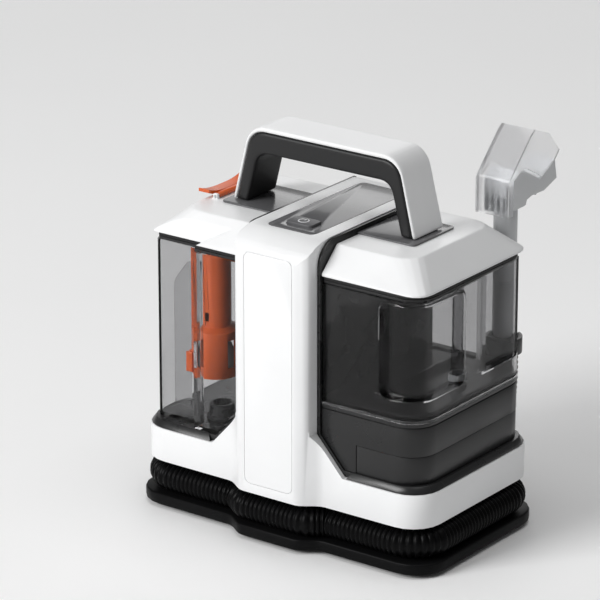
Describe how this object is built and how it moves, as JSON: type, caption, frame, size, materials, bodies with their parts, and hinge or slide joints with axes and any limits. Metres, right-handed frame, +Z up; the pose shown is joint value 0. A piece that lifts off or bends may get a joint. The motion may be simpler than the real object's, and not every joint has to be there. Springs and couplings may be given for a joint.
{
  "type": "portable carpet cleaner",
  "caption": "Portable spot cleaner: central body with a carry handle over two lift-away side tanks, a hose wrapped round the base and a wand with a suction head docked at the back.",
  "frame": {"origin": "centre of the bounding box (hose left out), at the underside of the rubber feet", "axes": "+Z up, -Y the front with the white panel, +X the clean-water tank side"},
  "size_m": [0.3204, 0.2688, 0.3515],
  "materials": {
    "white_shell": "satin moulded",
    "white_gloss": "polished",
    "black_satin": "satin moulded",
    "dark_gloss": "polished",
    "smoky_clear": "clear, lightly smoked",
    "light_grey": "satin moulded",
    "orange": "satin moulded",
    "rubber": "matt",
    "steel": "machined",
    "board_green": "lacquered"
  },
  "bodies": {
    "chassis": {"base_plate": "black_satin", "chassis_core": "black_satin", "body_shell": "white_shell", "front_panel": "white_gloss", "top_panel": "dark_gloss", "exhaust_grille": "black_satin", "cord_gland": "rubber", "bay_liner_left": "black_satin", "bay_liner_right": "black_satin", "tank_cap_left": "white_shell", "tank_cap_right": "white_shell", "cap_inlay_left": "dark_gloss", "cap_inlay_right": "dark_gloss", "handle_shell": "white_shell", "handle_grip": "black_satin", "latch_pin": "steel", "wand_holster": "black_satin", "motor_deck": "black_satin", "fan_housing": "black_satin", "motor_housing": "steel", "circuit_board": "board_green", "power_switch": "black_satin", "pump_body": "black_satin", "solution_tube": "smoky_clear", "air_duct": "black_satin", "suction_hose": "rubber", "hose_port": "black_satin", "hose_cuff_port": "rubber", "foot_1": "rubber", "base_screw_1": "steel", "foot_2": "rubber", "base_screw_2": "steel", "foot_3": "rubber", "base_screw_3": "steel", "foot_4": "rubber", "base_screw_4": "steel"},
    "clean_tank_unit": {"clean_tank": "smoky_clear", "clean_tank_base": "black_satin", "clean_base_cover": "black_satin", "clean_tank_lid": "black_satin", "clean_tank_seal": "rubber"},
    "outlet_valve": {"outlet_valve": "orange"},
    "filler_cap": {"filler_cap": "orange"},
    "recovery_tank_unit": {"recovery_tank": "smoky_clear", "recovery_lid": "black_satin", "recovery_seal": "rubber", "recovery_stack": "orange", "suction_inlet": "black_satin"},
    "float_ball": {"float_ball": "light_grey"},
    "wand_unit": {"wand": "light_grey", "trigger_pin": "steel", "hose_cuff_wand": "rubber"},
    "trigger": {"trigger": "orange"},
    "nozzle_unit": {"nozzle_body": "light_grey", "nozzle_hood": "smoky_clear", "spray_tip": "black_satin"},
    "release_latch": {"release_latch": "orange"},
    "power_button": {"power_button": "dark_gloss"},
    "motor_rotor": {"motor_rotor": "steel"},
    "pump_rotor": {"pump_rotor": "steel"}
  },
  "joints": [
    {"name": "clean_tank_slide", "type": "slide", "parent": "chassis", "child": "clean_tank_unit", "axis": [1, 0, 0], "range_m": [0, 0.11]},
    {"name": "outlet_valve_push", "type": "slide", "parent": "clean_tank_unit", "child": "outlet_valve", "axis": [1, 0, 0], "range_m": [0, 0.006], "stiffness_N_per_m": 200, "springref_m": -0.002},
    {"name": "filler_cap_turn", "type": "hinge", "parent": "clean_tank_unit", "child": "filler_cap", "pos_m": [0.095, -0.06005, 0.2513], "axis": [0, 0, 1], "range_deg": [0, 90]},
    {"name": "recovery_tank_slide", "type": "slide", "parent": "chassis", "child": "recovery_tank_unit", "axis": [-1, 0, 0], "range_m": [0, 0.11]},
    {"name": "float_rise", "type": "slide", "parent": "recovery_tank_unit", "child": "float_ball", "axis": [0, 0, 1], "range_m": [0, 0.01]},
    {"name": "wand_lift", "type": "slide", "parent": "chassis", "child": "wand_unit", "axis": [0, 0, 1], "range_m": [0, 0.04]},
    {"name": "trigger_press", "type": "hinge", "parent": "wand_unit", "child": "trigger", "pos_m": [0.1071, 0.08135, 0.195], "axis": [-1, 0, 0], "range_deg": [0, 8], "stiffness_Nm_per_rad": 0.08, "springref_deg": -5.73},
    {"name": "nozzle_pull", "type": "slide", "parent": "wand_unit", "child": "nozzle_unit", "axis": [0, 0, 1], "range_m": [0, 0.03]},
    {"name": "latch_lift", "type": "hinge", "parent": "chassis", "child": "release_latch", "pos_m": [-0.112, -0.03005, 0.2808], "axis": [0, 1, 0], "range_deg": [0, 40], "stiffness_Nm_per_rad": 0.1, "springref_deg": -11.46},
    {"name": "power_button_press", "type": "slide", "parent": "chassis", "child": "power_button", "axis": [0, 0, -1], "range_m": [0, 0.0015], "stiffness_N_per_m": 600, "springref_m": -0.001},
    {"name": "motor_spin", "type": "hinge", "parent": "chassis", "child": "motor_rotor", "pos_m": [0, 0.00395, 0.133], "axis": [0, 0, 1], "continuous": true},
    {"name": "pump_spin", "type": "hinge", "parent": "chassis", "child": "pump_rotor", "pos_m": [0.046, -0.04405, 0.029], "axis": [0, 0, 1], "continuous": true}
  ]
}
